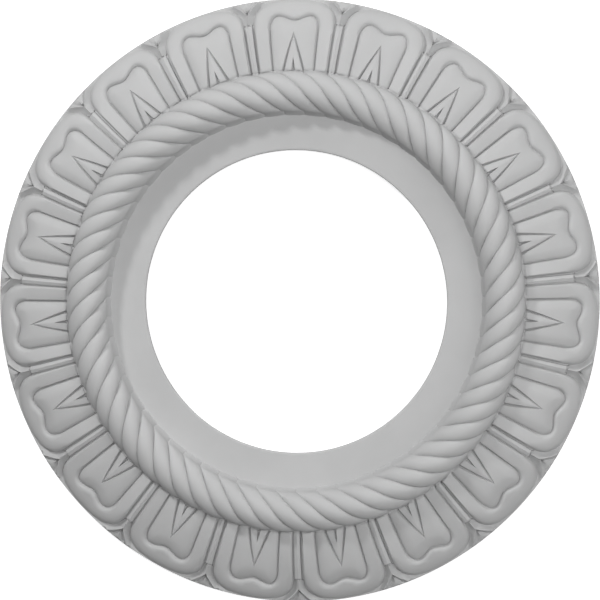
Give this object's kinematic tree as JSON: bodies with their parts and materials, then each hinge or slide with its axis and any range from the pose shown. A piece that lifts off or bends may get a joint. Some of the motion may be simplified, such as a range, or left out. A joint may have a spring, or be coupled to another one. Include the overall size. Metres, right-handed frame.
{
  "type": "ceiling rose",
  "caption": "Round moulded ceiling rose with an open centre, a plain band, a raised twisted-rope ring and an outer ring of framed petals on a rounded slope.",
  "frame": {"origin": "centre of the flat back, in the plane that goes against the ceiling", "axes": "+Z out of the carved face; stored face up on its back and turned over to go on a ceiling; +Y towards the top of the picture, +X towards its right"},
  "size_m": [0.3299, 0.3298, 0.0263],
  "materials": {
    "primed_finish": "matt factory primer, light neutral grey"
  },
  "bodies": {
    "root": {"ceiling_rose": "primed_finish"}
  },
  "joints": []
}
